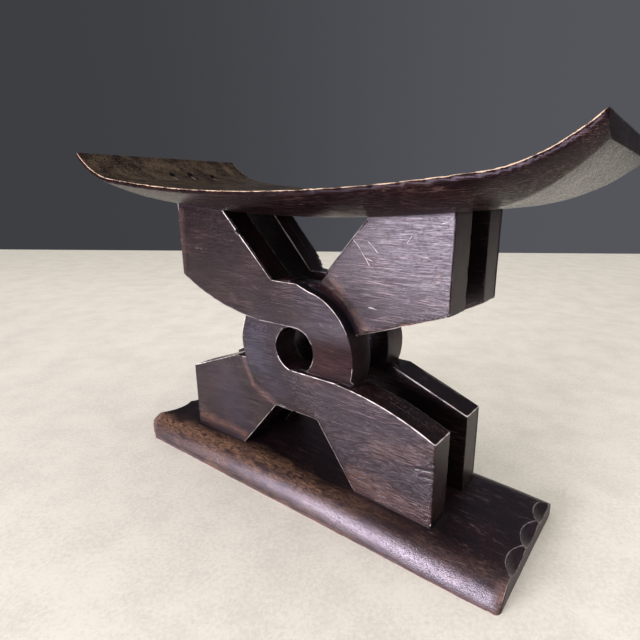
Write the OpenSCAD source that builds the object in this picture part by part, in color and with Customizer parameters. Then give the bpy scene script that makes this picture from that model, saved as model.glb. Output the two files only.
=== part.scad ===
// Asante stool: a swept crescent seat on two parallel knot frames over a crowned plank base.
// Each knot frame is two angular straps that interlock in the middle with a half lap.
// +X runs along the seat, +Y to the back, +Z up. The origin is on the floor, under the seat's middle.

/* [Seat] */
// Length of the seat from end to end
seat_l = 546; // [510:1:570]
// Depth of the seat from front rim to back rim
seat_w = 227; // [190:1:260]
// Height of the seat's top surface above the floor, in the middle
seat_z = 325; // [305:1:345]
// Radius of the long, shallow sweep in the middle of the seat
sweep_r = 1850; // [1750:10:2200]
// Distance from the middle at which each end starts to turn up
upturn_x = 212; // [204:1:218]
// Radius of the turned-up ends
upturn_r = 115; // [105:1:140]
// Thickness of the rim, front and back
rim_t = 4; // [3:0.5:6]
// Thickness of the board in the middle of the seat
board_t = 23; // [20:0.5:26]
// How deep the rounding from rim to rim would reach if the underside weren't flattened
round_depth = 28; // [26.5:0.5:34]
// Radius of the flattened underside in the middle
belly_r = 1700; // [1600:10:1850]
// Distance from the middle at which the underside starts to turn up
belly_x = 195; // [187:1:203]
// Radius of the underside at the turned-up ends
belly_turn_r = 140; // [130:1:170]

/* [Base] */
// Length of the base plank
base_l = 490; // [460:1:530]
// Width of the base plank
base_w = 160; // [150:1:190]
// Height of the base plank where it is highest
base_h = 31.5; // [29.5:0.5:40]
// How much lower the base plank is at its right end
base_crown = 8.5; // [4:0.5:10]
// How far to the left of the base's middle it is highest
crown_dx = 40; // [0:1:60]
// Radius of the rounding along the base's long edges
edge_r = 29; // [20:0.5:29]
// Number of gouged scallops across each end of the base
scallops = 3; // [2:1:4]
// Distance between the scallops
scallop_pitch = 40.5; // [36:0.5:46]
// Radius of the gouge that cuts a scallop
scallop_r = 41.5; // [38:0.5:44]
// How far the gouge's centre lies beyond the end of the base
scallop_out = 22; // [19:0.5:25]
// How far the gouge's centre lies above the base
scallop_up = 18.5; // [15:0.5:21]
// How far the row of scallops lies behind the middle
scallop_shift = 5; // [0:0.5:8]

/* [Frames] */
// Thickness of each knot frame, front to back
frame_t = 30; // [24:0.5:36]
// Width of the open slot between the two frames
slot_w = 41; // [30:0.5:44]
// How far to the right of the seat's middle the base and the frames stand
stand_dx = -5; // [-8:0.5:8]
// Height of the knot's middle above the floor
knot_z = 166.5; // [160:0.5:172]
// How far the knot lies beside the middle of the base, on each frame's own right
knot_dx = 4; // [0:0.5:8]

/* [Straps] */
// Width of a strap where it crosses the other one
strap_w = 46.5; // [40:0.5:50]
// Radius of the eye in the middle of the knot
eye_r = 23.9; // [20:0.1:27]
// How far the middle of a strap's eye edge lies towards its loop
eye_dx = 2.2; // [0:0.1:4]
// How far the middle of a strap's loop lies beside the knot's middle
loop_dx = 9.5; // [7:0.1:12]
// Outer radius of the left strap's loop
left_loop_r = 65.5; // [62:0.5:69]
// Outer radius of the right strap's loop
right_loop_r = 69.5; // [62:0.5:69.5]
// Distance from the knot's middle at which a strap's straight back edge ends and its loop begins
shoulder_dx = 5; // [2:0.5:8]
// Distance from the knot's middle at which a leg's inner edge leaves the knot
crotch_dx = 29.5; // [26:0.5:34]
// Distance from the knot's middle at which the sweeping edge of an over-passing leg begins
sweep_start = 34; // [26:1:44]
// Radius of that sweeping edge
leg_sweep_r = 300; // [270:5:360]
// Distance from the knot's middle at which the left strap's under-passing leg turns off
left_break = 90; // [70:1:100]
// Distance from the knot's middle at which the right strap's under-passing leg turns off
right_break = 63; // [55:1:100]
// Height of the left strap's under-passing leg edge at its outer end, away from the knot's middle
left_rise = 55; // [48:0.5:64]
// Height of the right strap's under-passing leg edge at its outer end, away from the knot's middle
right_rise = 62.5; // [48:0.5:64]
// Distance from the middle of the base to the outer ends of the legs that carry the seat
seat_reach = 174.5; // [160:0.5:184]
// Distance from the middle of the base to the outer ends of the legs that stand on the base
foot_reach = 168.5; // [150:0.5:180]
// Distance from the middle of the base to a leg's inner edge under the seat
seat_gap = 92.5; // [84:0.5:104]
// Distance from the middle of the base to a leg's inner edge on the base
foot_gap = 81.5; // [74:0.5:92]
// Depth to which a strap dips where it passes under the other one
lap_dip = 13.5; // [9:0.5:15]
// Length of the slope by which a strap dips under the other one's loop
loop_slope = 30; // [18:1:36]
// Length of the slope by which a strap's own loop dips under the other strap
eye_slope = 20; // [14:1:23]

/* [Hidden] */
$fn = 720;
gouge_fn = 96;
pad = 10;                                   // spare length of a cutter beyond what it cuts
spare = 20;                                 // spare length of a leg before the seat and base cut it
crease = 2;                                 // angle of the soft creases of the seat and the base
shoulder_dip = 1;                           // the shoulder's slope runs this far into the loop
half_l = seat_l / 2;
half_w = seat_w / 2;
belly_z = seat_z - board_t;                 // lowest line of the seat's underside
back_w = eye_r + strap_w;                   // height of a strap's back edge above the knot's middle
seat_leg = [seat_reach, seat_gap, belly_z - knot_z];
foot_leg = [foot_reach, foot_gap, knot_z - base_h];
lap = frame_t / 2;                          // each strap keeps half the frame's thickness where they cross
crown_r = (pow(base_l / 2 + crown_dx, 2) + pow(base_crown, 2)) / (2 * base_crown);
edge_y = base_w / 2 - edge_r;
body_wood = [0.16, 0.11, 0.10];
seat_wood = [0.20, 0.15, 0.12];
base_wood = [0.22, 0.14, 0.10];

// Centre of the arc that turns up from a shallow sweep of radius r, lowest at z0, at the distance x
function turn_c(z0, r, x, turn_r) = let (a = asin(x / r))
    [x - turn_r * sin(a + crease), z0 + r - r * cos(a) + turn_r * cos(a + crease)];
// Half the length along which only the sweep counts: it ends inside the turned-up arc
function sweep_half(r, x, turn_r) = x - sin(crease) / (1 / turn_r - 1 / r);
top_c = turn_c(seat_z, sweep_r, upturn_x, upturn_r);
belly_c = turn_c(belly_z, belly_r, belly_x, belly_turn_r);
end_z = top_c[1] - sqrt(pow(upturn_r, 2) - pow(half_l - top_c[0], 2));  // height of the seat's ends
rise = end_z - seat_z + pad;

// Everything above a sweep with turned-up ends, up to the height cap, seen from the front
module above_sweep(z0, r, x, turn_r, c, cap) {
    half = sweep_half(r, x, turn_r);
    intersection() {
        translate([0, z0 + r]) circle(r);
        translate([-half_l - pad, z0 - pad]) square([seat_l + 2 * pad, cap - z0 + pad]);
        union() {
            translate([-half, z0 - pad]) square([2 * half, cap - z0 + pad]);
            for (side = [-1, 1]) translate([side * c[0], c[1]]) circle(turn_r);
        }
    }
}

module above_belly(cap) above_sweep(belly_z, belly_r, belly_x, belly_turn_r, belly_c, cap);

// Turns an outline that is seen from the front into a solid from y0 to y1
module front_view(y0, y1) {
    translate([0, y1, 0]) rotate([90, 0, 0]) linear_extrude(y1 - y0) children();
}

// Cross-section from front to back of all that lies above the seat's rounded underside
module seat_section() {
    round_r = (pow(half_w, 2) + pow(round_depth - rim_t, 2)) / (2 * (round_depth - rim_t));
    intersection() {
        translate([round_depth - round_r, 0]) circle(round_r);
        translate([-rise, -half_w]) square([round_depth + rise, seat_w]);
    }
}

// The cross-section swept about a centre line, along x0 to x1
module swept_section(c, r, x0, x1) {
    a0 = asin((x0 - c[0]) / r);
    a1 = asin((x1 - c[0]) / r);
    translate([c[0], 0, c[1]]) rotate([90, 0, 0]) rotate([0, 0, 270 + a0])
        rotate_extrude(angle = a1 - a0) translate([r, 0]) seat_section();
}

module seat() {
    half = sweep_half(sweep_r, upturn_x, upturn_r);
    color(seat_wood) intersection() {
        swept_section([0, seat_z + sweep_r], sweep_r, -half_l - pad, half_l + pad);
        union() {
            translate([-half, -half_w - pad, 0]) cube([2 * half, seat_w + 2 * pad, end_z + pad]);
            for (side = [0, 1]) mirror([side, 0, 0]) swept_section(top_c, upturn_r, top_c[0] - pad, half_l + pad);
        }
        front_view(-half_w - pad, half_w + pad) intersection() {
            difference() {
                above_belly(end_z + pad);
                above_sweep(seat_z, sweep_r, upturn_x, upturn_r, top_c, end_z + 2 * pad);
            }
            translate([-half_l, 0]) square([seat_l, end_z + pad]);
        }
    }
}

// The base's crowned side view, with everything below it down to the depth given. It is highest
// at the distance dx to the left of the middle.
module below_crown(depth, dx) {
    intersection() {
        translate([-dx, base_h - crown_r]) circle(crown_r);
        translate([-base_l / 2, -depth]) square([base_l, base_h + depth]);
    }
}

// The base's rounded long edges, swept along the crown, with all that lies between them
module edge_sweep() {
    sweep_a = asin((base_l / 2 + crown_dx + pad) / crown_r);
    translate([-crown_dx, 0, base_h - crown_r]) rotate([90, 0, 0]) rotate([0, 0, 90 - sweep_a])
        rotate_extrude(angle = 2 * sweep_a) translate([crown_r, 0]) {
            translate([-base_h - pad, -edge_y]) square([base_h + 2 * pad, 2 * edge_y]);
            intersection() {
                for (side = [-1, 1]) translate([-edge_r * cos(crease), side * edge_y]) circle(edge_r);
                translate([-base_h - pad, -base_w]) square([base_h + 2 * pad, 2 * base_w]);
            }
        }
}

module base() {
    color(base_wood) translate([stand_dx, 0, 0]) difference() {
        intersection() {
            edge_sweep();
            front_view(-base_w, base_w) below_crown(0, crown_dx);
        }
        for (side = [-1, 1], i = [0:scallops - 1])
            translate([side * (base_l / 2 + scallop_out), (i - (scallops - 1) / 2) * scallop_pitch + scallop_shift,
                base_h + scallop_up]) sphere(scallop_r, $fn = gouge_fn);
    }
}

// One strap seen from the front, with both its legs on the left and its loop on the right.
// The knot's middle is the outline's origin, and the base's middle lies at mid beside it.
// The upper leg passes over and the lower leg passes under. Each leg is given as the distances of
// its outer and its inner edge from the base's middle and the height at which it ends. The lower
// leg's outer edge turns off at the distance bend and lies at rise where it ends.
module strap_outline(loop_r, mid, over, under, bend, rise) {
    shoulder = [shoulder_dx, back_w];
    to_shoulder = shoulder - [loop_dx, 0];
    tangent_a = atan2(to_shoulder[1], to_shoulder[0]) - acos(min(1, loop_r / norm(to_shoulder)));
    tangent = [loop_dx, 0] + (loop_r - shoulder_dip) * [cos(tangent_a), sin(tangent_a)];
    difference() {
        union() {
            translate([loop_dx, 0]) circle(loop_r);
            intersection() {
                polygon(concat([tangent, shoulder], leg_end(mid, over, 1), [[mid - over[0], 0], [0, 0]]));
                union() {
                    translate([-sweep_start, eye_r + leg_sweep_r]) circle(leg_sweep_r);
                    translate([-sweep_start, 0]) square([2 * seat_reach, over[2] + spare]);
                }
            }
            polygon(concat([[0, 0], [-bend, 0], [-bend, -eye_r], [mid - under[0], -rise]],
                leg_end(mid, under, -1), [[shoulder[0], -shoulder[1]], [tangent[0], -tangent[1]]]));
        }
        translate([eye_dx, 0]) circle(eye_r);
        translate([mid - seat_reach - pad, -eye_r]) square([seat_reach + pad + eye_dx - mid, 2 * eye_r]);
    }
}

// The crotch, the inner corner and the outer corner of a leg, a little longer than it will be. An
// upper leg has up = 1. A lower leg has up = -1, and its corners come in the opposite order.
function leg_end(mid, leg, up) = let (crotch = [-crotch_dx, back_w], foot = [mid - leg[1], leg[2]],
    inner = crotch + (foot - crotch) * (1 + spare / (leg[2] - back_w)), outer = [mid - leg[0], leg[2] + spare])
    [for (p = up > 0 ? [crotch, inner, outer] : [outer, inner, crotch]) [p[0], up * p[1]]];

module outline(right) {
    if (right) strap_outline(right_loop_r, knot_dx, foot_leg, seat_leg, right_break, right_rise);
    else strap_outline(left_loop_r, -knot_dx, seat_leg, foot_leg, left_break, left_rise);
}

// One strap about the knot's middle, with its back at y = 0 and its front face at y = -frame_t.
// Above the middle it keeps its front half where the straps cross, and below it its back half.
module strap(right) {
    other_r = right ? left_loop_r : right_loop_r;
    wide = seat_reach + frame_t;
    difference() {
        front_view(-frame_t, 0) outline(right);
        front_view(-lap, pad) intersection() {
            rotate(180) outline(!right);
            translate([-wide, 0]) square(2 * wide);
        }
        front_view(-frame_t - pad, -lap) intersection() {
            rotate(180) outline(!right);
            translate([-wide, -2 * wide]) square(2 * wide);
        }
        // The slope down to the other strap's loop
        intersection() {
            translate([-loop_dx, -frame_t - pad, 0]) rotate([-90, 0, 0])
                cylinder(h = lap_dip + pad, r1 = other_r + loop_slope * (1 + pad / lap_dip), r2 = other_r);
            translate([-wide, -frame_t - 2 * pad, -wide]) cube([wide, frame_t + 2 * pad, wide]);
        }
        // The slope by which this strap's loop dips under the other strap
        rotate([90, 0, 90]) linear_extrude(wide) translate([-frame_t, -eye_r])
            polygon([[-pad, eye_slope * (1 + pad / lap_dip)], [lap_dip, 0], [lap_dip, -strap_w], [-pad, -strap_w]]);
    }
}

// Places a strap in the front frame, or in the rear one, which is the front one turned round.
// Its legs end on the crown of the base and under the belly of the seat.
module in_frame(rear) {
    turn = rear ? 180 : 0;
    translate([stand_dx, 0, 0]) rotate([0, 0, turn]) intersection() {
        translate([knot_dx, -slot_w / 2, knot_z]) children();
        front_view(-slot_w / 2 - frame_t - pad, pad) difference() {
            translate([-base_l / 2, 0]) square([base_l, seat_z]);
            translate([-cos(turn) * stand_dx, 0]) above_belly(seat_z + pad);
            below_crown(pad, cos(turn) * crown_dx);
        }
    }
}

module left_strap() color(body_wood) strap(false);
module right_strap() color(body_wood) rotate([0, 180, 0]) strap(true);

module front_left_strap() in_frame(false) left_strap();
module front_right_strap() in_frame(false) right_strap();
module rear_left_strap() in_frame(true) right_strap();
module rear_right_strap() in_frame(true) left_strap();

seat();
base();
front_left_strap();
front_right_strap();
rear_left_strap();
rear_right_strap();
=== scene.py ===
"""Asante stool, carved from one dark stained block: a crescent seat on two knot frames over a plank.

Each operator carves one piece, or one group of like pieces, out of its solid in the frame: the
solid is meshed finely, its arrises are rounded and nibbled, its faces get the wobble and the cuts
of hand carving, and a procedural wood finish reads how far each spot lies from an arris or a seam.
"""

import math

import bmesh
import bpy
import numpy as np
from bpy.props import FloatProperty, FloatVectorProperty, IntProperty, PointerProperty
from mathutils import Matrix, Vector, noise
from mathutils.bvhtree import BVHTree
from mathutils.kdtree import KDTree


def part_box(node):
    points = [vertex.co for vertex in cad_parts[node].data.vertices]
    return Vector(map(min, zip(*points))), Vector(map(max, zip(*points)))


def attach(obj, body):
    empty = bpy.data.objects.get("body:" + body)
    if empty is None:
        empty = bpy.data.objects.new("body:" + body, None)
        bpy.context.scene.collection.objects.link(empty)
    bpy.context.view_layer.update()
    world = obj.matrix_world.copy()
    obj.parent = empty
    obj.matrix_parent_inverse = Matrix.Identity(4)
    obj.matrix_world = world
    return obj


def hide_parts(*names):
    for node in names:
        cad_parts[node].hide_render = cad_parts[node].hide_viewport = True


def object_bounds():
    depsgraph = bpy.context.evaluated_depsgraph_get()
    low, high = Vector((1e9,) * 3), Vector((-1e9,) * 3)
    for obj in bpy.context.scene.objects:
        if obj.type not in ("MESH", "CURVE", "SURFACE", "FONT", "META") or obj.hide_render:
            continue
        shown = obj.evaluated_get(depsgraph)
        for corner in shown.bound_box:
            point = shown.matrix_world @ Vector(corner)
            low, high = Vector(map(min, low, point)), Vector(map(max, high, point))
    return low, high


bl_info = {
    "name": "Carved Stool",
    "version": (1, 0, 0),
    "blender": (4, 5, 0),
    "location": "View3D > Sidebar > Stool",
    "description": "Carves and finishes the pieces of a one-block knot stool",
    "category": "Object",
}

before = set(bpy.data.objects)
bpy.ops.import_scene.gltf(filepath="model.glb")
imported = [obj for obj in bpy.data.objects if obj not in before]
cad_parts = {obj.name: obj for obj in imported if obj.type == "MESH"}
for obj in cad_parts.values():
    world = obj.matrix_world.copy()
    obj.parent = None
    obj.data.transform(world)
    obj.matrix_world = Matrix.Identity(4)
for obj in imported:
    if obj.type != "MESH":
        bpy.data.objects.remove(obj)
CAD_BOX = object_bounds()

MM = 0.001
BODY = "root"
STRAPS = ["front_left_strap", "front_right_strap", "rear_left_strap", "rear_right_strap"]
FAR = 60.0  # mm, the distance at which an arris or a seam no longer counts
UP = Vector((0, 0, 1))
BACK = Vector((0, 1, 0))

# Faces of the stool, in mm: how far out the knot frames' outer faces lie, and three sides of the base
OUTER_FACE = round(-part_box("front_left_strap")[0].y / MM, 1)
BASE_LEFT, BASE_FRONT = (round(side / MM, 1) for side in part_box("base")[0][:2])
BASE_RIGHT = round(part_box("base")[1].x / MM, 1)


# ---------------------------------------------------------------- the solids and their edges


def merged_solid(node):
    """The node's solid as a bmesh whose faces share their corners."""
    solid = bmesh.new()
    solid.from_mesh(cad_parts[node].data)
    bmesh.ops.remove_doubles(solid, verts=solid.verts, dist=0.001 * MM)
    solid.normal_update()
    return solid


SOLIDS = {node: merged_solid(node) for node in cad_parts}
TREES = {node: BVHTree.FromBMesh(solid) for node, solid in SOLIDS.items()}


def contact_faces(node, reach=0.35 * MM, facing=-0.8):
    """The faces of a solid that lie against another solid."""
    touching = set()
    for face in SOLIDS[node].faces:
        centre = face.calc_center_median()
        for other, tree in TREES.items():
            place, normal, _, _ = tree.find_nearest(centre, reach)
            if other != node and place is not None and normal.dot(face.normal) < facing:
                touching.add(face)
                break
    return touching


CONTACTS = {node: contact_faces(node) for node in SOLIDS}


def inside_neighbour(node, point):
    """Whether a point lies inside any solid but the node's own."""
    for other, tree in TREES.items():
        if other != node:
            place, normal, _, _ = tree.find_nearest(point)
            if (point - place).dot(normal) < 0:
                return True
    return False


def along(a, b, step=0.8 * MM):
    """Points from one end to the other, close together."""
    count = max(2, math.ceil((b - a).length / step) + 1)
    return [a.lerp(b, i / (count - 1)) for i in range(count)]


def gets_wear_and_highlight(node, edge):
    """Whether an arris gets the pale line of wear and painted highlight: the seat's upper ones, and elsewhere
    those that aren't upright.
    """
    if node == "seat":
        return max(face.normal.z for face in edge.link_faces) > 0.3
    a, b = (vert.co for vert in edge.verts)
    return abs((b - a).normalized().dot(UP)) <= 0.9


def paleness(node, edge):
    """How strongly an arris's pale line shows: less on the base and on undersides, and less where other wood
    shades it in the slot and under the seat, since part of the line is painted highlight.
    """
    underside = min(face.normal.z for face in edge.link_faces) < -0.15
    strength = 0.25 if node == "base" else 0.35 if underside else 1.0
    if node not in STRAPS:
        return strength
    x, y, z = edge.verts[0].co
    front_right = node == "front_right_strap"
    flush = front_right and x < -50 * MM and z < 140 * MM
    in_slot = -30 * MM < y < 0
    under_seat = z > 230 * MM and (x > 0 if front_right else x < 0 and node.startswith("rear"))
    # the painted highlight is weaker where shade falls, in the slot and under the seat
    return strength * (0.0 if flush else 0.12 if in_slot else 0.4 if under_seat else 1.0)


def is_seam(node, edge, shown):
    """Whether the neighbour's wood stands up beside a contact face's edge, along which the finish darkens."""
    a, b = (vert.co for vert in edge.verts)
    middle = (a + b) / 2
    outward = (middle - shown.calc_center_median()).normalized()
    for axis in (shown.normal, (b - a).normalized()):
        outward = (outward - axis * outward.dot(axis)).normalized()
    return inside_neighbour(node, middle + outward * 1.5 * MM + shown.normal * 0.7 * MM)


def edge_points(node, sharp=math.radians(25)):
    """The solid's open arrises, those that get the pale line of wear and painted highlight and how strongly,
    and points along its seams.
    """
    arrises, pale, seams = [], [], []
    for edge in SOLIDS[node].edges:
        if len(edge.link_faces) != 2:
            continue
        shown = [face for face in edge.link_faces if face not in CONTACTS[node]]
        ends = tuple(vert.co.copy() for vert in edge.verts)
        turn = edge.calc_face_angle_signed(0.0)
        ridge = min(abs(face.normal.y) for face in edge.link_faces) > 0.6
        if len(shown) == 2 and turn > sharp and not ridge:
            arrises.append(ends)
            if gets_wear_and_highlight(node, edge):
                pale.append((*ends, paleness(node, edge)))
        elif len(shown) == 2 and turn < -sharp or len(shown) == 1 and is_seam(node, edge, shown[0]):
            seams += along(*ends)
    return arrises, pale, seams


EDGES = {node: edge_points(node) for node in SOLIDS}


def tree_of(points):
    """A KD-tree of points."""
    tree = KDTree(max(1, len(points)))
    for i, point in enumerate(points or [Vector((0, 0, -9))]):
        tree.insert(point, i)
    tree.balance()
    return tree


SEAM_TREE = tree_of([p for _, _, seams in EDGES.values() for p in seams])


# ---------------------------------------------------------------- carving


def extended(node, depth, overlap=1.0 * MM, sharp=math.radians(40)):
    """The solid, with its contact faces carried on into its neighbours so that no groove shows."""
    whole = SOLIDS[node].copy()
    left = set(CONTACTS[node])
    while left:
        patch, front = set(), [left.pop()]
        while front:
            face = front.pop()
            patch.add(face)
            for edge in face.edges:
                for other in edge.link_faces:
                    if other in left and other.normal.angle(face.normal) < sharp:
                        left.discard(other)
                        front.append(other)
        normals = {}
        for face in patch:
            for vert in face.verts:
                normals[vert] = normals.get(vert, Vector()) + face.normal * face.calc_area()
        low, high = {}, {}
        for vert, normal in normals.items():
            normal.normalize()
            low[vert] = whole.verts.new(vert.co - normal * overlap)
            high[vert] = whole.verts.new(vert.co + normal * depth)
        for face in patch:
            whole.faces.new([high[vert] for vert in face.verts])
            whole.faces.new([low[vert] for vert in reversed(face.verts)])
            for edge in face.edges:
                if sum(other in patch for other in edge.link_faces) == 1:
                    loop = next(loop for loop in edge.link_loops if loop.face is face)
                    a, b = loop.vert, loop.link_loop_next.vert
                    whole.faces.new([low[a], low[b], high[b], high[a]])
    return whole


def finely_meshed(name, solid, pitch, passes):
    """An object of even small faces round the solid, with its arrises rounded a little."""
    mesh = bpy.data.meshes.new(name + "_blank")
    solid.to_mesh(mesh)
    solid.free()
    blank = bpy.data.objects.new(name + "_blank", mesh)
    bpy.context.scene.collection.objects.link(blank)
    grid = blank.modifiers.new("grid", "REMESH")
    grid.mode = "VOXEL"
    grid.voxel_size = pitch
    soften = blank.modifiers.new("soften", "SMOOTH")
    soften.factor = 0.5
    soften.iterations = passes
    shaped = blank.evaluated_get(bpy.context.evaluated_depsgraph_get())
    fine = bpy.data.meshes.new_from_object(shaped)
    fine.name = name
    bpy.data.objects.remove(blank)
    bpy.data.meshes.remove(mesh)
    piece = bpy.data.objects.new(name, fine)
    bpy.context.scene.collection.objects.link(piece)
    fine.shade_smooth()
    return piece


def corners(mesh):
    """The mesh's vertices as an array."""
    co = np.empty(len(mesh.vertices) * 3, np.float32)
    mesh.vertices.foreach_get("co", co)
    return co.reshape(-1, 3).astype(float)


def directions(mesh):
    """The mesh's vertex normals as an array."""
    no = np.empty(len(mesh.vertices) * 3, np.float32)
    mesh.vertex_normals.foreach_get("vector", no)
    return no.reshape(-1, 3).astype(float)


def distances(co, tree):
    """Each vertex's distance from a tree's points, in millimetres and at most FAR."""
    return np.array([min(FAR, tree.find(Vector(p))[2] / MM) for p in co])


def offsets(co, arrises):
    """The way from the nearest arris to each vertex, in mm and at most FAR long, and which arris it is."""
    dots, owner = [], []
    for i, (a, b, *_) in enumerate(arrises):
        more = along(a, b)
        dots += more
        owner += [i] * len(more)
    tree = tree_of(dots)
    nearest = np.array([owner[tree.find(Vector(p))[1]] for p in co])
    start = np.array([arris[0] for arris in arrises])[nearest]
    line = np.array([arris[1] for arris in arrises])[nearest] - start
    share = np.clip(np.sum((co - start) * line, 1) / np.sum(line * line, 1), 0, 1)
    way = (co - start - share[:, None] * line) / MM
    length = np.linalg.norm(way, axis=1)
    return way * np.minimum(1, FAR / np.maximum(length, 1e-9))[:, None], nearest


def rough_field(co, wavelength, seed):
    """Smooth noise from -1 to 1 at each vertex, with lumps of about the wavelength."""
    shift = Vector((seed * 17.3, seed * 5.1, seed * 9.7))
    return np.array([noise.noise(Vector(p) + shift) for p in co / wavelength])


def gash(co, start, end, width, depth):
    """How deep a straight cut from start to end goes at each vertex, deepest on its line."""
    start, end = np.array(start) * MM, np.array(end) * MM
    line = end - start
    share = np.clip(((co - start) @ line) / (line @ line), 0, 1)
    off = np.linalg.norm(co - start - share[:, None] * line, axis=1)
    return depth * MM * np.clip(1 - off / (width * MM), 0, 1)


def on_top(node, x, y):
    """The place, in mm, where a plumb line at x and y meets the top of a solid."""
    place = TREES[node].ray_cast(Vector((x * MM, y * MM, 1.0)), -UP)[0]
    return tuple(place / MM)


# How far below the outer face a dive starts, the eased curve ends and the dive is hidden, in mm
DIVE_START, CURVE_END, DIVE_END = 0.5, 13.0, 17.0

# How long the eased curve and the solid's own dive are, in times their depth, and how the dive slants
CURVE_LENGTH, DIVE_LENGTH = 1.8, 2.4
DIVE_SLANT = (0.85, 0.96)

OUTSIDE = 100 * MM  # further out than the outer faces

# A strap's dives under the other one, on its left and its right as seen from outside: how deep the
# solid is, and how deep the carving is there, in mm; None eases the solid's own dive into a curve
UNDER_DIVES = (((0, 14.5, DIVE_END), (0, 0, DIVE_END)), ((0, 9, CURVE_END, DIVE_END), (0, 0, 7, DIVE_END)))
OVER_DIVES = (((0, 16, DIVE_END), (0, 3, DIVE_END)), None)
DIVES = {
    "front_left_strap": UNDER_DIVES,
    "front_right_strap": OVER_DIVES,
    "rear_left_strap": OVER_DIVES,
    "rear_right_strap": UNDER_DIVES,
}


def dive_points(node, other, side):
    """Where the strap dives under the other one: places on the outer face, and how deep it is there."""
    face = OUTER_FACE * MM
    outward = BACK * side
    places, depths = [], []
    for a, b in EDGES[other][0]:
        if min(side * a.y, side * b.y) < face - 0.2 * MM:
            continue
        across = (b - a).cross(BACK).normalized() * 1.2 * MM
        for point in along(a, b, 1.5 * MM):
            for step in (across, -across):
                start = Vector((point.x, side * OUTSIDE, point.z)) + step
                place, normal, _, _ = TREES[node].ray_cast(start, -outward)
                covered = TREES[other].ray_cast(start, -outward)[0]
                if place is None or (covered is not None and side * covered.y > side * place.y):
                    continue
                depth = face - side * place.y
                slanting = DIVE_SLANT[0] < side * normal.y < DIVE_SLANT[1]
                if DIVE_START * MM < depth < CURVE_END * MM and slanting:
                    places.append(Vector((point.x, 0, point.z)))
                    depths.append(depth)
    return places, np.array(depths)


def ease_dives(node, other, co, no):
    """Redraws the strap's two dives under the other one as DIVES says."""
    face = OUTER_FACE * MM
    side = -1 if node.startswith("front") else 1
    deep = np.clip(face - side * co[:, 1], 0, None) / MM
    on_left = side * co[:, 0] > 0
    left_slope, right_slope = DIVES[node]
    for chosen, slope in ((on_left, left_slope), (~on_left, right_slope)):
        if slope:
            redrawn = side * (face - np.interp(deep, *slope) * MM)
            co[:, 1] = np.where(chosen & (deep < DIVE_END), redrawn, co[:, 1])
    if right_slope:
        return
    places, depths = dive_points(node, other, side)
    tree = tree_of(places)
    for i in np.nonzero((side * no[:, 1] > 0.8) & (deep < CURVE_END) & ~on_left)[0]:
        _, nearest, away = tree.find(Vector((co[i, 0], 0, co[i, 2])))
        if away < DIVE_LENGTH * depths[nearest]:
            share = max(0.0, 1 - away / (CURVE_LENGTH * depths[nearest]))
            co[i, 1] = side * (face - depths[nearest] * share**2)


def round_corners(co, half_length, half_width, radius):
    """Rounds the plank's four corners as seen from above."""
    off = np.abs(co[:, :2]) - (np.array((half_length, half_width)) - radius)
    length = np.linalg.norm(off, axis=1)
    outside = (off[:, 0] > 0) & (off[:, 1] > 0) & (length > radius)
    drawn = np.abs(co[outside, :2]) - off[outside] * (1 - radius / length[outside])[:, None]
    co[outside, :2] = np.sign(co[outside, :2]) * drawn


def store(mesh, name, values):
    """Keeps one number or one offset per vertex, which the finish reads."""
    flat = np.asarray(values, np.float32)
    layer = mesh.attributes.new(name, "FLOAT_VECTOR" if flat.ndim == 2 else "FLOAT", "POINT")
    layer.data.foreach_set("vector" if flat.ndim == 2 else "value", flat.ravel())


# How far the carver's hand reaches, in mm: an arris is drawn out fully up to CRISP and fades until
# SOFT, nicks fade at NICKED from it, and a face strays less from flat when nearer than CALM to a seam
CRISP, SOFT, NICKED, CALM = 1.0, 1.7, 1.6, 6.0

# The lengths of the lumps and ripples on a face, and of the nicks in an arris
LUMP, RIPPLE, NICK = 70 * MM, 20 * MM, 6 * MM


def carve(context, node, name, seed, cuts=(), chips=(), shape=None, pitch=None):
    """Carves one piece out of its solid and returns it, riding on the stool's body."""
    hand = context.scene.stool_carving
    solid = extended(node, hand.overlap)
    piece = finely_meshed(name, solid, pitch or hand.pitch, hand.passes)
    mesh = piece.data
    co, no = corners(mesh), directions(mesh)
    arrises, pale, _ = EDGES[node]
    way, _ = offsets(co, arrises)
    arris = np.linalg.norm(way, axis=1)
    drawn_out = np.clip((SOFT - arris) / (SOFT - CRISP), 0, 1)
    co -= way * MM * (hand.crispness * drawn_out)[:, None]
    way, nearest = offsets(co, pale)
    strength = np.array([arris[2] for arris in pale])[nearest]
    seam = distances(co, SEAM_TREE)
    if shape:
        shape(co, no)

    uneven = rough_field(co, LUMP, seed) + 0.4 * rough_field(co, RIPPLE, seed + 1)
    wobble = hand.wobble * uneven * np.clip(seam / CALM, 0.15, 1)
    nicks = np.clip(1.5 * rough_field(co, NICK, seed + 2) - 0.25, 0, 1.2)
    depth = hand.nibble * np.exp(-((arris / NICKED) ** 2)) * nicks - wobble
    dark, light = np.zeros(len(co)), np.zeros(len(co))
    for marks, lines in ((dark, cuts), (light, chips)):
        for start, end, width, deepest in lines:
            dug = gash(co, start, end, width, deepest)
            depth += dug
            np.maximum(marks, dug / (deepest * MM), out=marks)
    co -= no * depth[:, None]
    co = np.clip(co, *CAD_BOX)
    mesh.vertices.foreach_set("co", co.astype(np.float32).ravel())
    store(mesh, "arris", way)
    # how strongly each spot takes the pale line, partly worn bare wood and partly painted highlight
    store(mesh, "wear", strength)
    store(mesh, "seam", seam)
    store(mesh, "cut", dark)
    store(mesh, "chip", light)
    mesh.update()
    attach(piece, BODY)
    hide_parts(node)
    return piece


# ---------------------------------------------------------------- marks of use and painted sheen, all in mm


def on_front(*marks, sunk=0.0):
    """Marks on the front frame's outer face, or sunk into it, from x and z at both ends of each."""
    y = sunk - OUTER_FACE
    return [((a, y, b), (c, y, d), *sizes) for (a, b), (c, d), *sizes in marks]


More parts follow.
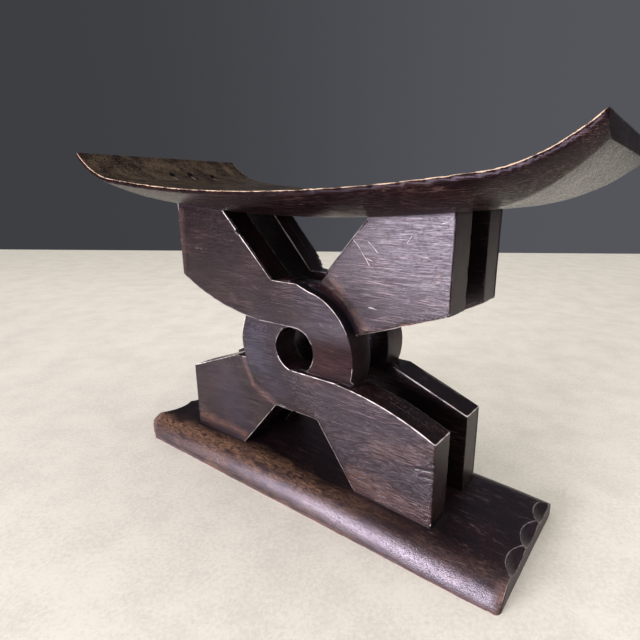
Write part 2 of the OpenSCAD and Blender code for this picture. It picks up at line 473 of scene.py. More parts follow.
# Light scratches on the front frame's upper right leg: both ends and the width
SCRATCHES = on_front(
    ((72.6, 285.7), (81.3, 277.6), 0.32),
    ((81.3, 277.6), (88.9, 267.8), 0.32),
    ((88.9, 267.8), (92.1, 263.8), 0.32),
    ((89.7, 283.4), (100.1, 275.6), 0.28),
    ((87.8, 269.5), (95.2, 267.5), 0.32),
    ((127.9, 285.1), (132.2, 290.9), 0.36),
    ((157.0, 301.5), (163.5, 303.2), 0.32),
    ((91.8, 225.8), (99.3, 225.1), 0.7),
)

# Rubbed patches on the front faces: both ends, the width, how far the stain is gone, how dull it is
PATCHES = on_front(
    ((50.0, 246.0), (62.0, 236.0), 4.0, 0.45, 0.1),
    ((74.0, 220.0), (88.0, 207.0), 5.0, 0.30, 0.1),
    ((156.8, 263.0), (156.4, 256.0), 2.0, 0.70, 0.0),
    ((126.0, 214.0), (154.0, 222.0), 3.0, 0.90, 0.3),
    ((32.0, 162.0), (72.0, 166.0), 34.0, 0.12, 1.0),
    ((-166.0, 45.0), (-84.0, 43.0), 11.0, 0.50, 0.15),
    ((-81.0, 143.0), (-66.0, 112.0), 5.0, 0.60, 0.3),
    ((-66.0, 112.0), (-32.0, 98.0), 6.0, 0.60, 0.3),
    ((-177.0, 300.0), (-179.0, 232.0), 8.0, 0.30, 0.2),
    ((-150.0, 105.0), (-110.0, 60.0), 50.0, 0.0, 0.35),
    ((79.0, 44.0), (140.0, 34.0), 26.0, 0.36, 0.0),
    ((112.0, 90.0), (158.0, 105.0), 22.0, 0.20, 0.0),
)

# Painted bluish sheen on the loops of the knot, in place of a cool reflection: both ends, the width and how
# strongly
PAINTED_SHEENS = on_front(
    ((-58.0, 175.0), (-62.0, 150.0), 36.0, 0.27),
    ((-62.0, 150.0), (-30.0, 122.0), 36.0, 0.22),
    ((10.0, 228.0), (62.0, 200.0), 26.0, 0.12),
    ((-110.0, 110.0), (-100.0, 75.0), 50.0, 0.15),
)

# Where the front frame's lower right leg is worn rough: both ends of a line and the reach round it
ROUGHENED = on_front(((50.0, 140.0), (160.0, 40.0), 90.0))

# Rubbed places on the base, as in PATCHES: its two front corners and the foot of its front edge
BASE_PATCHES = [
    ((BASE_RIGHT, BASE_FRONT + 16.0, 26.0), (BASE_RIGHT, BASE_FRONT, 6.0), 9.0, 0.8, 0.6),
    ((BASE_LEFT, BASE_FRONT + 20.0, 26.0), (BASE_LEFT, BASE_FRONT, 8.0), 14.0, 0.9, 0.6),
    ((BASE_LEFT, BASE_FRONT, 1.0), (BASE_RIGHT - 2.0, BASE_FRONT, 1.0), 3.0, 0.8, 0.6),
]

# Gouges near the left end of the seat's top: x and y where they start
NOTCHES = [(-240.3, -13.7), (-242.3, 14.8), (-238.3, 47.2)]

# How far from straight a scratch or a gash strays to either side
SHAKE = 1.5

# Dark gashes and pale chips in the front frame: both ends, the width and the depth
GASHES = {
    "front_left_strap": [
        *on_front(((-79.5, 284.0), (-77.5, 281.5), 2.2, 1.3), sunk=0.5),
        *on_front(((-152.0, 262.0), (-140.0, 261.0), 1.1, 0.4)),
    ],
    "front_right_strap": on_front(
        ((144.9, 83.9), (165.5, 87.5), 1.8, 1.2),
        ((150.3, 77.8), (166.0, 79.4), 1.6, 1.1),
        ((159.0, 92.5), (166.0, 94.0), 1.5, 0.8),
        ((163.0, 70.0), (166.5, 70.6), 1.8, 1.0),
        ((163.0, 61.0), (166.5, 60.4), 1.5, 0.8),
        ((-79.0, 183.5), (-70.0, 183.0), 1.6, 1.0),
        ((-80.0, 178.5), (-73.0, 178.3), 1.4, 0.9),
        ((-83.0, 169.6), (-77.5, 169.8), 1.4, 0.8),
    ),
}
CHIPS = {
    "front_left_strap": on_front(((-136.0, 207.0), (-128.0, 204.5), 1.4, 0.4)),
    "front_right_strap": on_front(
        ((126.0, 213.0), (131.0, 214.5), 1.6, 0.6),
        ((163.0, 31.0), (166.5, 33.5), 1.8, 0.9),
        ((165.0, 41.0), (166.5, 43.0), 1.5, 0.8),
        sunk=0.5,
    ),
}


# ---------------------------------------------------------------- the wood finish


class Shading:
    """Short names for making and linking shader nodes in one material or world."""

    def __init__(self, holder):
        """Takes a new material or world and starts it with no nodes."""
        holder.use_nodes = True
        self.tree = holder.node_tree
        self.tree.nodes.clear()

    def put(self, socket, value):
        """Links a node's output to a socket, or sets the socket to a plain value."""
        if isinstance(value, bpy.types.NodeSocket):
            self.tree.links.new(value, socket)
        else:
            socket.default_value = value

    def add(self, kind, inputs=(), **settings):
        """Adds a node with its settings and its inputs by number or name."""
        made = self.tree.nodes.new("ShaderNode" + kind)
        for name, value in settings.items():
            setattr(made, name, value)
        for key, value in dict(inputs).items():
            self.put(made.inputs[key], value)
        return made

    def math(self, operation, a, b=0.0, clamp=False):
        """One step of arithmetic on one or two numbers."""
        return self.add("Math", {0: a, 1: b}, operation=operation, use_clamp=clamp).outputs[0]

    def vector(self, operation, a, b=(0, 0, 0), output=0):
        """One step of arithmetic on one or two vectors."""
        return self.add("VectorMath", {0: a, 1: b}, operation=operation).outputs[output]

    def product(self, value, *factors):
        """The product of all the values."""
        for factor in factors:
            value = self.math("MULTIPLY", value, factor)
        return value

    def total(self, value, *more):
        """The sum of all the values."""
        for other in more:
            value = self.math("ADD", value, other)
        return value

    def rest(self, share):
        """What a share leaves of 1."""
        return self.math("SUBTRACT", 1.0, share, clamp=True)

    def ramp(self, value, low, high, to_low=0.0, to_high=1.0):
        """Maps a value smoothly from one range to another."""
        inputs = {0: value, 1: low, 2: high, 3: to_low, 4: to_high}
        return self.add("MapRange", inputs, interpolation_type="SMOOTHSTEP").outputs[0]

    def mix(self, share, a, b):
        """Mixes two colours."""
        made = self.add("Mix", data_type="RGBA", clamp_factor=True)
        for key, value in ((0, share), (6, a), (7, b)):
            self.put(made.inputs[key], value)
        return made.outputs[2]

    def millimetres(self):
        """The place on the object, in millimetres."""
        place = self.add("TexCoord").outputs["Object"]
        return self.add("VectorMath", {0: place, "Scale": 1 / MM}, operation="SCALE").outputs[0]

    def parts(self, vector):
        """A vector's x, y and z."""
        return tuple(self.add("SeparateXYZ", {0: vector}).outputs)

    def noise(self, place, lengths, shift=0.0, detail=4.0, roughness=0.6):
        """Noise with lumps of the given lengths along each axis, in mm."""
        shifted = self.vector("ADD", place, (shift, shift, shift))
        scaled = self.vector("MULTIPLY", shifted, tuple(1 / length for length in lengths))
        inputs = {"Vector": scaled, "Scale": 1.0, "Detail": detail, "Roughness": roughness, "Distortion": 0.0}
        return self.add("TexNoise", inputs).outputs[0]

    def distance(self, place, start, end):
        """The distance of each spot from a straight line between two points, in millimetres."""
        line = Vector(end) - Vector(start)
        away = self.vector("SUBTRACT", place, start)
        share = self.vector("DOT_PRODUCT", away, line / line.length_squared, "Value")
        share = self.math("MAXIMUM", self.math("MINIMUM", share, 1.0), 0.0)
        reached = self.add("VectorMath", {0: line, "Scale": share}, operation="SCALE").outputs[0]
        return self.vector("LENGTH", self.vector("SUBTRACT", away, reached), output="Value")

    def near(self, place, start, end, outer, inner=0.0):
        """1 within the inner distance of a straight line, and 0 beyond the outer one."""
        return self.ramp(self.distance(place, start, end), outer, inner)


class Wood(Shading):
    """Dark stained wood with its grain along X, the marks that carving and use left on it, and painted
    highlight, sheen and shade.
    """

    darkness = 1.0  # how many times darker the stain is than the settings' colours
    more_roughness = 0.0  # how much rougher the wood is than the setting
    ior = 1.34  # of the wood under the wax
    wax = 0.8  # how whole the film of wax is
    wax_roughness = 0.17
    dotted = 0.0  # how much of the wax's texture is dots and not lines
    line_relief = 1.0  # how far the grain stands out
    dot_relief = 0.06  # how far the dots stand out
    pale_reach = (0.55, 0.9)  # mm, how far the pale line of wear and painted highlight reaches from an arris, least and most
    pale = "worn_and_lit"  # the colour of that wear and painted highlight
    sheen = (1.0, 0.82, 1.0, 1.0)  # the colour of the wood's own reflections
    slot_shade = 0.0  # how strongly painted shade darkens the sides that face the slot between the frames
    patches, blooms, roughened = (), (), ()

    def __init__(self, name, finish, gashes=(), scratches=()):
        """Makes the material, from its grain outwards to the wax."""
        self.material = bpy.data.materials.new(name)
        super().__init__(self.material)
        self.finish = finish
        self.read_place()
        self.grow()
        self.stain()
        self.scrape()
        self.rub()
        self.weather()
        self.paint_arris_wear_and_highlight()
        self.darken_seams_and_cuts()
        self.bloom()
        self.mark(gashes, scratches)
        self.wax_over()

    def paint(self, name, *shares):
        """Lays one of the finish's colours over the wood, as thickly as the product of the shares."""
        self.colour = self.mix(self.product(*shares), self.colour, (*getattr(self.finish, name), 1))

    def read_place(self):
        """Where each spot lies, which way it faces, and what carving stored there."""
        self.place = self.millimetres()
        self.x, self.y, _ = self.parts(self.place)
        turned_x, _, self.turned_z = self.parts(self.add("NewGeometry").outputs["Normal"])
        self.end_grain = self.ramp(self.math("ABSOLUTE", turned_x), 0.75, 0.95)
        self.hollow = self.ramp(self.math("ABSOLUTE", self.y), 24.0, 17.0)
        way = self.add("Attribute", attribute_name="arris").outputs["Vector"]
        self.arris = self.vector("LENGTH", way, output="Value")
        for name in ("wear", "seam", "cut", "chip"):
            setattr(self, name, self.add("Attribute", attribute_name=name).outputs["Fac"])

    def grow(self):
        """The grain, from broad bands to single hairs, and the wood's specks, dots and blotches."""
        sway = self.product(self.noise(self.place, (120, 60, 60), detail=1.0), 7.0)
        wavy = self.vector("ADD", self.place, self.add("CombineXYZ", {1: sway, 2: sway}).outputs[0])
        self.broad = self.noise(wavy, (80, 7, 7), detail=3.0)
        self.grain = self.noise(wavy, (34, 1.5, 1.5))
        self.fine = self.noise(wavy, (26, 1.8, 0.8), 31, detail=2.0)
        self.lines = self.noise(wavy, (18, 1.6, 0.6), 83, detail=3.0, roughness=0.7)
        self.hair = self.noise(wavy, (7, 0.6, 0.2), 43, detail=0.0)
        self.speck = self.noise(self.place, (2.6, 1.7, 1.7), 97, detail=5.0, roughness=0.72)
        self.dots = self.noise(self.place, (0.9, 0.6, 0.6), 61, detail=1.0)
        self.blotch = self.noise(self.place, (60, 36, 36), 53, detail=5.0)

    def stain(self):
        """Stain, deeper in the pores of the grain and warmer in blotches."""
        names = ("stain", "stain_deep", "stain_warm")
        shades = [tuple(channel / self.darkness for channel in getattr(self.finish, name)) for name in names]
        plain, deep, warm = ((*shade, 1) for shade in shades)
        tone = self.total(self.product(self.grain, 0.5), self.product(self.broad, 0.5))
        self.colour = self.mix(self.ramp(tone, 0.38, 0.62), deep, plain)
        self.colour = self.mix(self.product(self.ramp(self.blotch, 0.46, 0.68), 0.5), self.colour, warm)

    def scrape(self):
        """Fine scraped lines, more of them at the right and on the roughened leg, none on dull wood."""
        self.coarse, self.dull = 0.0, 0.0
        for start, end, reach in self.roughened:
            spot = self.near(self.place, start, end, reach, 0.3 * reach)
            self.coarse = self.math("MAXIMUM", self.coarse, spot)
        for start, end, width, _, dullness in self.patches:
            spot = self.near(self.place, start, end, 1.2 * width, 0.2 * width)
            self.dull = self.math("MAXIMUM", self.dull, self.product(spot, dullness))
        bands = self.ramp(self.broad, 0.44, 0.62, 0.15, 1.0)
        clouds = self.ramp(self.blotch, 0.38, 0.62, 0.3, 1.0)
        used = self.math("MAXIMUM", self.ramp(self.x, -60.0, 110.0, 0.4, 1.0), self.product(self.coarse, 0.9))
        shiny = self.rest(self.product(self.dull, 0.7))
        self.paint("scraped", self.ramp(self.lines, 0.52, 0.68), bands, clouds, used, shiny, 0.7)

    def rub(self):
        """Patches where the stain is rubbed thin, streaked along the grain."""
        speckled = self.ramp(self.speck, 0.36, 0.56, 0.6, 1.0)
        streaked = self.ramp(self.lines, 0.42, 0.56, 0.1, 1.0)
        uneven = self.ramp(self.blotch, 0.35, 0.65, 0.6, 1.3)
        for start, end, width, strength, _ in self.patches:
            away = self.math("DIVIDE", self.distance(self.place, start, end), uneven)
            self.paint("rubbed", self.ramp(away, 1.2 * width, 0.0), speckled, streaked, strength)

    def weather(self):
        """Dirt in the pits, and painted shade on the sides that face the slot between the frames."""
        self.pits = self.ramp(self.speck, 0.42, 0.32)
        self.paint("dirt_and_shade", self.pits, 0.8)
        # painted shade: the dark colour laid over the sides that face the slot, where shade falls
        self.paint("dirt_and_shade", self.hollow, self.slot_shade)

    def paint_arris_wear_and_highlight(self):
        """Pale bare wood and painted highlight along the arrises, in a ragged line, and bare wood in the
        chips.
        """
        ragged = self.noise(self.place, (14, 6, 6), 71)
        reach = self.ramp(ragged, 0.36, 0.66, *self.pale_reach)
        line = self.ramp(self.math("DIVIDE", self.arris, reach), 1.25, 0.6)
        self.worn_and_lit = self.product(line, self.wear, self.ramp(ragged, 0.34, 0.54, 0.4, 1.0))
        bared = self.product(self.ramp(self.chip, 0.25, 0.6), self.ramp(self.speck, 0.36, 0.5, 0.4, 1.0))
        self.paint(self.pale, self.math("MAXIMUM", self.worn_and_lit, bared))

    def darken_seams_and_cuts(self):
        """Darkens along the seams and in the cuts."""
        self.dirt_and_shade = self.rest(self.math("DIVIDE", self.seam, self.ramp(self.speck, 0.3, 0.7, 1.4, 4.2)))
        self.paint("dirt_and_shade", self.dirt_and_shade, 0.85)
        self.paint("dirt_and_shade", self.ramp(self.cut, 0.10, 0.45), 0.95)

    def bloom(self):
        """Painted bluish sheen, laid on as colour in place of a cool reflection."""
        streaked = self.ramp(self.lines, 0.40, 0.60, 0.4, 1.0)
        for start, end, width, strength in self.blooms:
            self.paint("bloom", self.near(self.place, start, end, width), streaked, strength)

    def mark(self, gashes, scratches):
        """Dark gashes, each with a painted highlight as a pale lower lip, and light scratches, none of them
        quite straight.
        """
        shake = self.product(self.noise(self.place, (14, 14, 14), 5, detail=1.0), 2 * SHAKE)
        shaky = self.vector("ADD", self.place, self.add("CombineXYZ", {0: shake, 2: shake}).outputs[0])
        shaky = self.vector("SUBTRACT", shaky, (SHAKE, 0, SHAKE))
        lip_specks = self.ramp(self.speck, 0.40, 0.60, 0.0, 0.25)
        scratch_specks = self.ramp(self.speck, 0.35, 0.55, 0.1, 0.4)
        for start, end, width in gashes:
            # painted highlight: a pale lip just below each gash, where its lower wall faces up to the light
            below = -UP * 0.8 * width
            lip = self.near(shaky, Vector(start) + below, Vector(end) + below, 0.4 * width, 0.1 * width)
            self.paint("worn_and_lit", lip, lip_specks)
            gap = self.near(shaky, start, end, 0.5 * width, 0.2 * width)
            self.paint("dirt_and_shade", gap)
            self.cut = self.math("MAXIMUM", self.cut, gap)
        for start, end, width in scratches:
            self.paint("worn_and_lit", self.near(shaky, start, end, width, 0.35 * width), scratch_specks)

    def relief(self):
        """The fine relief of grain, dots and pits, as a bent normal."""
        hairs = self.total(0.10, self.product(self.coarse, 0.18))
        height = self.total(
            self.product(self.grain, 0.04 * self.line_relief),
            self.product(self.fine, 0.06 * self.line_relief),
            self.product(self.hair, hairs, self.line_relief),
            self.product(self.dots, self.dot_relief),
            self.product(self.pits, -0.08),
        )
        return self.add("Bump", {"Strength": 1.0, "Distance": 0.7 * MM, "Height": height}).outputs[0]

    def polish(self):
        """Where the wax is whole, here everywhere."""
        return 1.0

    def wax_over(self):
        """Wax over the wood, thin on the grain's lines and gone from the darkened seams, cut and dull places,
        and the slot's painted shade.
        """
        texture = self.total(
            self.product(self.grain, 0.2),
            self.product(self.speck, 0.2),
            self.product(self.lines, 0.6 - self.dotted),
            self.product(self.dots, self.dotted),
        )
        roughness = self.finish.gloss + self.more_roughness
        satin = self.total(
            self.ramp(texture, 0.41, 0.59, roughness + 0.05, roughness - 0.03),
            self.product(self.dirt_and_shade, 0.2),
            self.product(self.worn_and_lit, 0.15),
            self.product(self.end_grain, 0.14),
            self.product(self.dull, 0.75),
            self.product(self.cut, 0.5),
        )
        # the wax is also taken off the slot's sides, under the painted shade
        blunt = self.math("MAXIMUM", self.product(self.end_grain, 0.7), self.product(self.hollow, self.slot_shade))
        spoilt = self.total(self.dirt_and_shade, self.math("MAXIMUM", self.cut, self.dull), blunt)
        film = self.product(
            self.ramp(texture, 0.42, 0.60, 0.1 * self.wax, self.wax),
            self.ramp(self.blotch, 0.35, 0.65, 0.6, 1.0),
            self.rest(spoilt),
            self.polish(),
        )
        bent = self.relief()
        inputs = {
            "Base Color": self.colour,
            "Roughness": satin,
            "IOR": self.ior,
            "Specular Tint": self.sheen,
            "Normal": bent,
            "Coat Weight": film,
            "Coat Roughness": self.wax_roughness,
            "Coat Normal": bent,
        }
        self.add("OutputMaterial", {0: self.add("BsdfPrincipled", inputs).outputs[0]})


class SeatWood(Wood):
    """The seat's wood: weathered on top, and polished by hands under its right end."""

    darkness = 1.1
    more_roughness = 0.06
    ior = 1.18
    wax = 1.0
    line_relief = 0.25
    dot_relief = 0.05
    pale_reach = (0.5, 1.0)
    pale = "rim"
    weathering = 0.85  # how grey the top is

    def weather(self):
        """Adds grey weathered wood on top."""
        super().weather()
        dust = self.noise(self.place, (30, 18, 18), 11, detail=8.0, roughness=0.75)
        streaks = self.total(self.product(dust, 0.6), self.product(self.grain, 0.4))
        upward = self.ramp(self.turned_z, 0.45, 0.8)
        self.paint("dust", upward, self.weathering, self.ramp(streaks, 0.38, 0.66))

    def polish(self):
        """Whole at the right end, and gone towards the left and along the front rim."""
        return self.product(self.ramp(self.x, 105.0, 190.0), self.ramp(self.y, -120.0, -60.0))


class BaseWood(Wood):
    """The base's wood: glossy along its front edge, and rubbed golden brown behind that."""

    darkness = 1.2
    more_roughness = 0.11
    ior = 1.6
    wax = 1.0
    wax_roughness = 0.28
    dotted = 0.45
    line_relief = 0.35
    dot_relief = 0.3
    pale_reach = (0.3, 0.7)
    patches = BASE_PATCHES
    band_middle = 66.0  # mm, how far in front of the base's middle feet have rubbed it

    def rub(self):
        """Adds the band where feet have rubbed the front of the top, less so at the right."""
        super().rub()
        width = self.ramp(self.noise(self.place, (60, 30, 30), 19, detail=5.0), 0.3, 0.7, 10.0, 30.0)
        away = self.math("ABSOLUTE", self.total(self.y, self.band_middle))
        band = self.rest(self.math("DIVIDE", away, width))
        streaks = self.noise(self.place, (6, 1.0, 1.0), 23, roughness=0.75)
        streaks = self.total(self.product(streaks, 0.7), self.product(self.speck, 0.3))
        patchy = self.ramp(self.noise(self.place, (34, 12, 12), 37), 0.36, 0.56, 0.25, 1.0)
        fading = self.ramp(self.x, -40.0, 170.0, 1.0, 0.22)
        self.paint("tan", self.math("POWER", band, 0.6), self.ramp(streaks, 0.42, 0.60), patchy, fading)

    def polish(self):
        """Whole along the front, and mostly gone further back and at the left."""
        at_front = self.ramp(self.y, -52.0, -66.0, 0.2, 1.0)
        return self.product(at_front, self.ramp(self.x, -180.0, 110.0, 0.3, 1.0))


class StrapWood(Wood):
    """The straps' wood: darkened by painted shade in the slot between the frames, and marked on the front."""

    # the straps get the full painted shade in the slot
    slot_shade = 1.0
    patches, blooms, roughened = PATCHES, PAINTED_SHEENS, ROUGHENED


def dress(piece, wood):
    """Gives a piece its finish."""
    piece.data.materials.clear()
    piece.data.materials.append(wood.material)


# ---------------------------------------------------------------- settings


def length_property(name, description, default):
    """A length setting, with its default in metres."""
    return FloatProperty(name=name, description=description, default=default, unit="LENGTH")


def power_property(name, description, default):
    """The setting of a lamp's power, in watts."""
    return FloatProperty(name=name, description=description, default=default, unit="POWER")


def colour_property(name, description, default):
    """A colour setting."""
    kind = {"subtype": "COLOR", "size": 3, "min": 0, "max": 1}
    return FloatVectorProperty(name=name, description=description, default=default, **kind)


class CarvingSettings(bpy.types.PropertyGroup):
    """How finely and how roughly the pieces are carved."""

    pitch: length_property("Pitch", "Size of the finished mesh's faces", 1.5 * MM)
    seat_pitch: length_property("Seat pitch", "Size of the finished seat's faces", 1.7 * MM)
    passes: IntProperty(name="Rounding passes", description="How often the arrises are smoothed", default=3)
    crispness: FloatProperty(
        name="Crispness", description="How far arrises are drawn out again", default=0.85, subtype="FACTOR"
    )
    overlap: length_property("Overlap", "How far a piece runs on into its neighbour", 3 * MM)
    wobble: length_property("Wobble", "How far hand-cut faces stray from flat", 0.4 * MM)
    nibble: length_property("Arris wear", "How deep the arrises are nicked", 0.9 * MM)
    corner: length_property("Base corners", "Radius of the base's corners from above", 7 * MM)


class FinishSettings(bpy.types.PropertyGroup):
    """Colours of the stained wood."""

    stain: colour_property("Stain", "Stained wood", (0.009, 0.0038, 0.0056))
    stain_deep: colour_property("Deep stain", "Stain in the grain's pores", (0.006, 0.0022, 0.0022))
    stain_warm: colour_property("Warm stain", "Thin, reddish stain", (0.021, 0.0076, 0.0072))
    scraped: colour_property("Scraped wood", "Fine lines scraped through the stain", (0.20, 0.11, 0.10))
    # bare wood, and the painted highlight along the arrises and on the gashes' lower lips
    worn_and_lit: colour_property("Worn arris", "Bare wood along worn arrises", (0.70, 0.62, 0.58))
    # bare wood and painted highlight along the seat's upper rim
    rim: colour_property("Worn rim", "Bare wood along the seat's rim", (0.52, 0.37, 0.26))
    tan: colour_property("Base's front edge", "Golden brown wood that feet have rubbed", (0.19, 0.10, 0.054))
    rubbed: colour_property("Rubbed wood", "Brown wood where the stain is rubbed thin", (0.15, 0.072, 0.048))
    dust: colour_property("Weathered wood", "Grey-olive weathered top", (0.125, 0.088, 0.054))
    # dark colour for dirt in the pits, for the darkened seams and cuts, and for painted shade in the slot
    dirt_and_shade: colour_property("Dirt", "Dark dirt in seams and cuts", (0.006, 0.005, 0.005))
    # painted bluish sheen, standing in for a cool reflection on the knot's loops
    bloom: colour_property("Wax bloom", "Thin bluish bloom of old wax", (0.045, 0.052, 0.085))
    gloss: FloatProperty(
        name="Roughness", description="Roughness of the straps' waxed wood", default=0.22, min=0.1, max=0.9
    )


class StageSettings(bpy.types.PropertyGroup):
    """Floor, background and lamps."""

    floor: colour_property("Floor", "Pale floor", (0.88, 0.81, 0.70))
    wall: colour_property("Background", "Dark plain background", (0.048, 0.049, 0.056))
    floor_reach: length_property("Floor reach", "Distance from the stool to the floor's far edge", 2.13)
    sky: FloatProperty(name="Soft light", description="Strength of the even light all round", default=0.7)
    window: power_property("Window lamp", "Power of the wide lamp in front", 80.0)
    ceiling: power_property("Ceiling lamp", "Power of the wide lamp overhead", 22.0)


# ---------------------------------------------------------------- operators


class STOOL_OT_carve_seat(bpy.types.Operator):
    """Carve the crescent seat"""

    bl_idname = "stool.carve_seat"
    bl_label = "Carve Seat"

    def execute(self, context):
        cuts, gashes, scratches = [], [], []
        for x, y in NOTCHES:
            cuts.append((on_top("seat", x - 2, y + 1), on_top("seat", x + 6, y - 3), 4.5, 2.2))
            gashes.append((on_top("seat", x - 2, y + 2), on_top("seat", x + 5, y - 3), 6.0))
            scratches.append((on_top("seat", x + 8, y - 5), on_top("seat", x + 22, y - 8), 1.1))
        pitch = context.scene.stool_carving.seat_pitch
        piece = carve(context, "seat", "carved_seat", seed=3, cuts=cuts, pitch=pitch)
        dress(piece, SeatWood("seat_wood", context.scene.stool_finish, gashes, scratches))
        return {"FINISHED"}


class STOOL_OT_carve_base(bpy.types.Operator):
    """Carve the base plank"""

    bl_idname = "stool.carve_base"
    bl_label = "Carve Base"

    def execute(self, context):
        _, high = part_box("base")

        def shape(co, _):
            round_corners(co, high[0], high[1], context.scene.stool_carving.corner)

        piece = carve(context, "base", "carved_base", seed=8, shape=shape)
        dress(piece, BaseWood("base_wood", context.scene.stool_finish))
        return {"FINISHED"}


class STOOL_OT_carve_straps(bpy.types.Operator):
    """Carve the four interlocking straps of the two knot frames"""

    bl_idname = "stool.carve_straps"
    bl_label = "Carve Straps"

    def execute(self, context):
        gashes = [(start, end, width) for marks in GASHES.values() for start, end, width, _ in marks]
        wood = StrapWood("strap_wood", context.scene.stool_finish, gashes, SCRATCHES)
        for seed, node in enumerate(STRAPS, start=20):
            row = node.split("_")[0]
            other = next(name for name in STRAPS if name != node and name.startswith(row))

            def shape(co, no):
                ease_dives(node, other, co, no)

            marks = (GASHES.get(node, ()), CHIPS.get(node, ()))
            piece = carve(context, node, "carved_" + node, seed, *marks, shape=shape)
            dress(piece, wood)
        return {"FINISHED"}


CAMERA_PLACE = (0.3174, -0.38665, 0.3250)
CAMERA_YAW, CAMERA_PITCH, CAMERA_ROLL = math.radians(35.8843), math.radians(15.6789), math.radians(0.3908)
CAMERA_LENS = 26.336  # mm, on a sensor 36 mm wide
CAMERA_SHIFT = (-0.0514, 0.0046)


def place_camera():
    """The camera looks down at the knot from the front right corner."""
    data = bpy.data.cameras.new("camera")
    data.sensor_fit = "HORIZONTAL"
    data.sensor_width = 36.0
    data.lens = CAMERA_LENS
    data.shift_x, data.shift_y = CAMERA_SHIFT
    data.clip_start = 0.01
    camera = bpy.data.objects.new("camera", data)
    turn = Matrix.Rotation(CAMERA_YAW, 4, "Z") @ Matrix.Rotation(math.pi / 2 - CAMERA_PITCH, 4, "X")
    camera.matrix_world = Matrix.Translation(CAMERA_PLACE) @ turn @ Matrix.Rotation(CAMERA_ROLL, 4, "Z")
    bpy.context.scene.collection.objects.link(camera)
    bpy.context.scene.camera = camera


# Each lamp: where it hangs, what it faces and its size, in metres, and the light's colour
WINDOW_LAMP = ((-0.46, -1.9, 0.42), (0, 0, 0.3), (1.2, 0.80), (0.93, 0.91, 1.0))
CEILING_LAMP = ((1.3, 0.1, 2.5), (1.3, 0.1, 0), (2.8, 2.8), (1, 1, 1))


def area_lamp(name, power, place, aim, size, colour):
    """A large soft lamp at a place, facing a point."""
    data = bpy.data.lights.new(name, "AREA")
    data.shape = "RECTANGLE"
    data.size, data.size_y = size
    data.energy = power
    data.color = colour
    lamp = bpy.data.objects.new(name, data)
    lamp.location = place
    lamp.visible_camera = False
    lamp.rotation_mode = "QUATERNION"
    lamp.rotation_quaternion = (Vector(aim) - Vector(place)).to_track_quat("-Z", "Y")
    bpy.context.scene.collection.objects.link(lamp)


def pale_floor(stage):
    """A plain pale floor, square to the camera, with painted shade that darkens it a little towards the
    window lamp.
    """
    reach = stage.floor_reach
    mesh = bpy.data.meshes.new("floor")
    ring = [(-reach, -reach, 0), (reach, -reach, 0), (reach, reach, 0), (-reach, reach, 0)]
    mesh.from_pydata(ring, [], [(0, 1, 2, 3)])
    floor = bpy.data.objects.new("floor", mesh)
    floor.rotation_euler = (0, 0, CAMERA_YAW)
    bpy.context.scene.collection.objects.link(floor)
    material = bpy.data.materials.new("pale_floor")
    s = Shading(material)
    place = s.millimetres()
    by_window = s.vector("DISTANCE", s.add("NewGeometry").outputs["Position"], (-0.7, -0.9, 0), "Value")
    # painted shade, darkest near the window lamp, against the pool of light it casts on the floor
    painted_shade = s.ramp(by_window, 0.1, 1.5, 0.62, 1.0)
    grit = s.noise(place, (4, 4, 4), detail=6.0, roughness=0.8)
    clouds = s.noise(place, (70, 70, 70), detail=6.0, roughness=0.7)
    mottle = s.total(s.product(grit, 0.6), s.product(clouds, 0.4))
    grey = s.product(s.ramp(mottle, 0.40, 0.58, 0.84, 1.0), painted_shade)
    colour = s.mix(grey, (0, 0, 0, 1), (*stage.floor, 1))
    shader = s.add("BsdfPrincipled", {"Base Color": colour, "Roughness": 0.85})
    s.add("OutputMaterial", {0: shader.outputs[0]})
    mesh.materials.append(material)


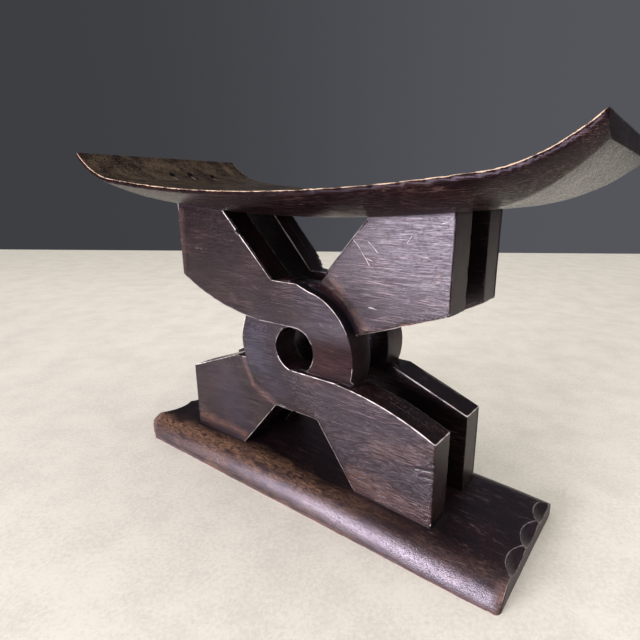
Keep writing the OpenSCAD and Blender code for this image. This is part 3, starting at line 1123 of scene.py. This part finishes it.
def soft_world(stage):
    """Even light all round, with a plain dark background for the eye and for reflections."""
    world = bpy.data.worlds.new("studio")
    s = Shading(world)
    light = s.add("Background", {0: (1, 1, 1, 1), 1: stage.sky}).outputs[0]
    sideways = (math.cos(CAMERA_YAW), math.sin(CAMERA_YAW), 0)
    across = s.vector("DOT_PRODUCT", s.add("TexCoord").outputs["Generated"], sideways, "Value")
    lighter = tuple(1.9 * channel for channel in stage.wall)
    colour = s.mix(s.ramp(across, -0.5, 0.45), (*stage.wall, 1), (*lighter, 1))
    seen = s.add("Background", {0: colour, 1: 1.0}).outputs[0]
    path = s.add("LightPath").outputs
    share = s.math("MAXIMUM", path["Is Camera Ray"], path["Is Transmission Ray"])
    share = s.math("MAXIMUM", share, path["Is Glossy Ray"])
    s.add("OutputWorld", {0: s.add("MixShader", {0: share, 1: light, 2: seen}).outputs[0]})
    bpy.context.scene.world = world


class STOOL_OT_set_stage(bpy.types.Operator):
    """Set the floor, the lamps and the camera"""

    bl_idname = "stool.set_stage"
    bl_label = "Set Stage"

    def execute(self, context):
        stage = context.scene.stool_stage
        place_camera()
        pale_floor(stage)
        soft_world(stage)
        area_lamp("window_lamp", stage.window, *WINDOW_LAMP)
        area_lamp("ceiling_lamp", stage.ceiling, *CEILING_LAMP)
        context.scene.view_settings.view_transform = "Standard"
        return {"FINISHED"}


class STOOL_PT_panel(bpy.types.Panel):
    """Buttons that carve the stool"""

    bl_idname = "STOOL_PT_panel"
    bl_label = "Carved Stool"
    bl_space_type = "VIEW_3D"
    bl_region_type = "UI"
    bl_category = "Stool"

    def draw(self, context):
        for kind in OPERATORS:
            self.layout.operator(kind.bl_idname)


OPERATORS = [STOOL_OT_set_stage, STOOL_OT_carve_seat, STOOL_OT_carve_base, STOOL_OT_carve_straps]
CLASSES = [CarvingSettings, FinishSettings, StageSettings, *OPERATORS, STOOL_PT_panel]


def register():
    for kind in CLASSES:
        bpy.utils.register_class(kind)
    bpy.types.Scene.stool_carving = PointerProperty(type=CarvingSettings)
    bpy.types.Scene.stool_finish = PointerProperty(type=FinishSettings)
    bpy.types.Scene.stool_stage = PointerProperty(type=StageSettings)


def unregister():
    for name in ("stool_carving", "stool_finish", "stool_stage"):
        delattr(bpy.types.Scene, name)
    for kind in reversed(CLASSES):
        bpy.utils.unregister_class(kind)


def main():
    """Makes the whole stool."""
    register()
    bpy.ops.stool.set_stage()
    bpy.ops.stool.carve_seat()
    bpy.ops.stool.carve_base()
    bpy.ops.stool.carve_straps()


if __name__ == "__main__":
    main()
